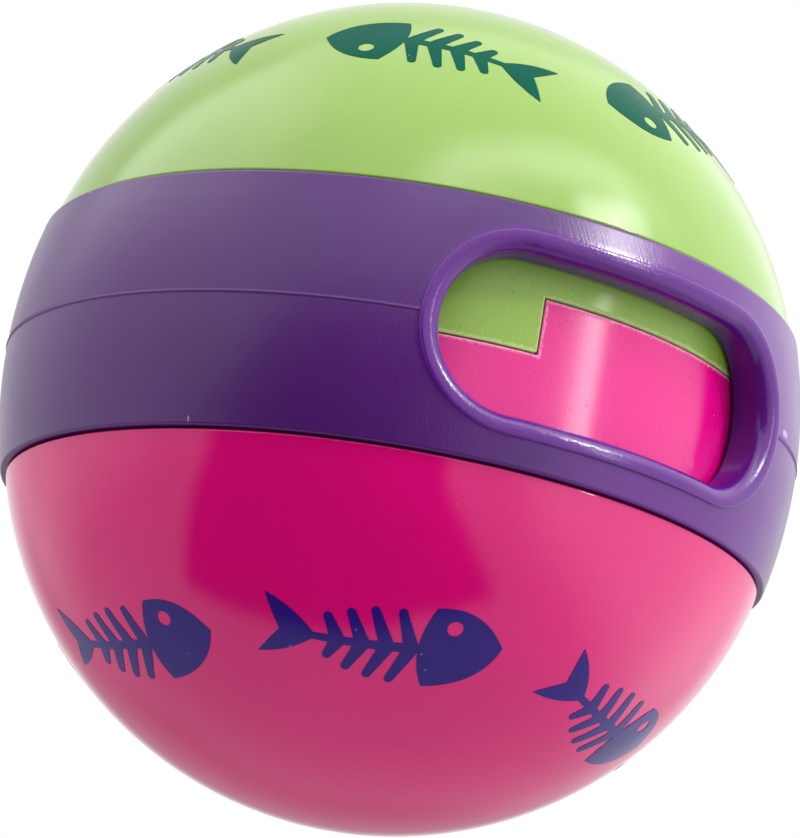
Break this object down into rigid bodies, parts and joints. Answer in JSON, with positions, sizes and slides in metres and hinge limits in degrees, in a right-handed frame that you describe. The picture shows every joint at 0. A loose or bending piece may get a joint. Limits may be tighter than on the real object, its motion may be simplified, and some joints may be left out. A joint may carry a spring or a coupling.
{
  "type": "treat dispensing ball",
  "caption": "Hollow pet toy ball: two domed halves with keyed necks inside a turning ring, whose rimmed window opens a treat outlet; the upper half pulls out for filling.",
  "frame": {"origin": "centre of the ball, on the turning axis and midway between the two poles", "axes": "+Z along the turning axis through the upper half's pole; the ring's window faces -Y at rest"},
  "size_m": [0.075, 0.0743, 0.0782],
  "materials": {
    "green_plastic": "gloss",
    "pink_plastic": "gloss",
    "purple_plastic": "satin"
  },
  "bodies": {
    "lower_half": {"lower_half": "pink_plastic"},
    "ring": {"ring": "purple_plastic"},
    "upper_half": {"upper_half": "green_plastic"}
  },
  "joints": [
    {"name": "ring_turn", "type": "hinge", "parent": "lower_half", "child": "ring", "pos_m": [0, 0, 0], "axis": [0, 0, 1], "continuous": true},
    {"name": "upper_half_lift", "type": "slide", "parent": "lower_half", "child": "upper_half", "axis": [0, 0, 1], "range_m": [0, 0.04]}
  ]
}
